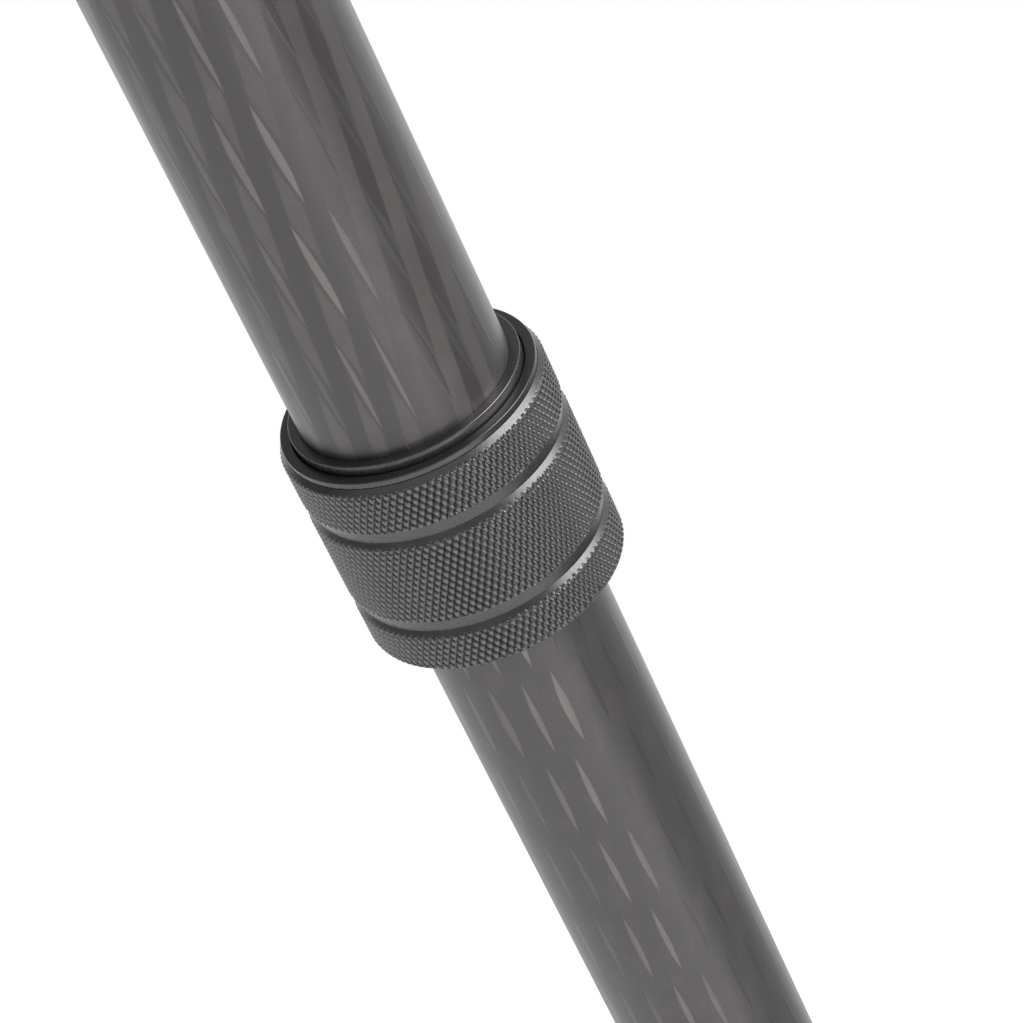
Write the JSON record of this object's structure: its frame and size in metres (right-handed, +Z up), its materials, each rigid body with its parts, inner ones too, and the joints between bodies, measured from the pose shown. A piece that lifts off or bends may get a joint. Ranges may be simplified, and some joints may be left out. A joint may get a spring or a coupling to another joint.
{
  "type": "camera tripod",
  "caption": "Standing camera tripod with telescopic wound-fibre legs, knurled twist locks, hinged legs with angle stops, a flat head plate with a stud, and round rubber feet.",
  "frame": {"origin": "centre of the head plate's top face, where a camera head stands", "axes": "+Z up out of the head plate, one leg points along -Y and the other two lie 30 degrees ahead of +X and -X"},
  "size_m": [1.1592, 1.0091, 1.3961],
  "materials": {
    "carbon_tube": "satin wound fibre",
    "steel_grey_anodised": "satin anodised",
    "black_anodised": "satin anodised",
    "cast_aluminium": "fine powder coat",
    "steel": "brushed",
    "bearing_plastic": "matte",
    "seal_rubber": "matte",
    "foot_rubber": "matte",
    "level_glass": "clear"
  },
  "bodies": {
    "apex": {"spider": "cast_aluminium", "head_plate": "black_anodised", "head_stud": "steel", "plate_screws": "steel", "spirit_level": "level_glass"},
    "hook": {"ballast_hook": "steel"},
    "leg_1": {"leg_yoke_1": "cast_aluminium", "hinge_pin_1": "steel", "upper_tube_1": "carbon_tube", "upper_ferrule_1": "black_anodised", "upper_collet_1": "bearing_plastic"},
    "stop_1": {"angle_stop_1": "steel_grey_anodised"},
    "upper_lock_1": {"upper_collar_1": "steel_grey_anodised", "upper_seal_1": "seal_rubber"},
    "middle_1": {"middle_shims_1": "bearing_plastic", "middle_tube_1": "carbon_tube", "lower_ferrule_1": "black_anodised", "lower_collet_1": "bearing_plastic"},
    "lower_lock_1": {"lower_collar_1": "steel_grey_anodised", "lower_seal_1": "seal_rubber"},
    "lower_1": {"lower_shims_1": "bearing_plastic", "lower_tube_1": "carbon_tube", "foot_stem_1": "steel_grey_anodised", "rubber_foot_1": "foot_rubber"},
    "leg_2": {"leg_yoke_2": "cast_aluminium", "hinge_pin_2": "steel", "upper_tube_2": "carbon_tube", "upper_ferrule_2": "black_anodised", "upper_collet_2": "bearing_plastic"},
    "stop_2": {"angle_stop_2": "steel_grey_anodised"},
    "upper_lock_2": {"upper_collar_2": "steel_grey_anodised", "upper_seal_2": "seal_rubber"},
    "middle_2": {"middle_shims_2": "bearing_plastic", "middle_tube_2": "carbon_tube", "lower_ferrule_2": "black_anodised", "lower_collet_2": "bearing_plastic"},
    "lower_lock_2": {"lower_collar_2": "steel_grey_anodised", "lower_seal_2": "seal_rubber"},
    "lower_2": {"lower_shims_2": "bearing_plastic", "lower_tube_2": "carbon_tube", "foot_stem_2": "steel_grey_anodised", "rubber_foot_2": "foot_rubber"},
    "leg_3": {"leg_yoke_3": "cast_aluminium", "hinge_pin_3": "steel", "upper_tube_3": "carbon_tube", "upper_ferrule_3": "black_anodised", "upper_collet_3": "bearing_plastic"},
    "stop_3": {"angle_stop_3": "steel_grey_anodised"},
    "upper_lock_3": {"upper_collar_3": "steel_grey_anodised", "upper_seal_3": "seal_rubber"},
    "middle_3": {"middle_shims_3": "bearing_plastic", "middle_tube_3": "carbon_tube", "lower_ferrule_3": "black_anodised", "lower_collet_3": "bearing_plastic"},
    "lower_lock_3": {"lower_collar_3": "steel_grey_anodised", "lower_seal_3": "seal_rubber"},
    "lower_3": {"lower_shims_3": "bearing_plastic", "lower_tube_3": "carbon_tube", "foot_stem_3": "steel_grey_anodised", "rubber_foot_3": "foot_rubber"}
  },
  "joints": [
    {"name": "hook_turn", "type": "hinge", "parent": "apex", "child": "hook", "pos_m": [0, 0, -0.044], "axis": [0, 0, 1], "continuous": true},
    {"name": "leg_fold_1", "type": "hinge", "parent": "apex", "child": "leg_1", "pos_m": [0.03984, 0.023, -0.032], "axis": [-0.5, 0.866, 0], "range_deg": [0, 24.15]},
    {"name": "stop_pull_1", "type": "slide", "parent": "leg_1", "child": "stop_1", "axis": [0.3082, 0.178, 0.9345], "range_m": [0, 0.006]},
    {"name": "upper_lock_turn_1", "type": "hinge", "parent": "leg_1", "child": "upper_lock_1", "pos_m": [0.23864, 0.13778, -0.54399], "axis": [-0.3543, -0.2046, 0.9125], "range_deg": [0, 120]},
    {"name": "middle_slide_1", "type": "slide", "parent": "leg_1", "child": "middle_1", "axis": [-0.3543, -0.2046, 0.9125], "range_m": [0, 0.4037]},
    {"name": "lower_lock_turn_1", "type": "hinge", "parent": "middle_1", "child": "lower_lock_1", "pos_m": [0.39808, 0.22983, -0.95461], "axis": [-0.3543, -0.2046, 0.9125], "range_deg": [0, 120]},
    {"name": "lower_slide_1", "type": "slide", "parent": "middle_1", "child": "lower_1", "axis": [-0.3543, -0.2046, 0.9125], "range_m": [0, 0.398]},
    {"name": "leg_fold_2", "type": "hinge", "parent": "apex", "child": "leg_2", "pos_m": [-0.03984, 0.023, -0.032], "axis": [-0.5, -0.866, 0], "range_deg": [0, 24.15]},
    {"name": "stop_pull_2", "type": "slide", "parent": "leg_2", "child": "stop_2", "axis": [-0.3082, 0.178, 0.9345], "range_m": [0, 0.006]},
    {"name": "upper_lock_turn_2", "type": "hinge", "parent": "leg_2", "child": "upper_lock_2", "pos_m": [-0.23864, 0.13778, -0.54399], "axis": [0.3543, -0.2046, 0.9125], "range_deg": [0, 120]},
    {"name": "middle_slide_2", "type": "slide", "parent": "leg_2", "child": "middle_2", "axis": [0.3543, -0.2046, 0.9125], "range_m": [0, 0.4037]},
    {"name": "lower_lock_turn_2", "type": "hinge", "parent": "middle_2", "child": "lower_lock_2", "pos_m": [-0.39808, 0.22983, -0.95461], "axis": [0.3543, -0.2046, 0.9125], "range_deg": [0, 120]},
    {"name": "lower_slide_2", "type": "slide", "parent": "middle_2", "child": "lower_2", "axis": [0.3543, -0.2046, 0.9125], "range_m": [0, 0.398]},
    {"name": "leg_fold_3", "type": "hinge", "parent": "apex", "child": "leg_3", "pos_m": [0, -0.046, -0.032], "axis": [1, 0, 0], "range_deg": [0, 24.15]},
    {"name": "stop_pull_3", "type": "slide", "parent": "leg_3", "child": "stop_3", "axis": [0, -0.3559, 0.9345], "range_m": [0, 0.006]},
    {"name": "upper_lock_turn_3", "type": "hinge", "parent": "leg_3", "child": "upper_lock_3", "pos_m": [0, -0.27556, -0.54399], "axis": [0, 0.4091, 0.9125], "range_deg": [0, 120]},
    {"name": "middle_slide_3", "type": "slide", "parent": "leg_3", "child": "middle_3", "axis": [0, 0.4091, 0.9125], "range_m": [0, 0.4037]},
    {"name": "lower_lock_turn_3", "type": "hinge", "parent": "middle_3", "child": "lower_lock_3", "pos_m": [0, -0.45967, -0.95461], "axis": [0, 0.4091, 0.9125], "range_deg": [0, 120]},
    {"name": "lower_slide_3", "type": "slide", "parent": "middle_3", "child": "lower_3", "axis": [0, 0.4091, 0.9125], "range_m": [0, 0.398]}
  ]
}
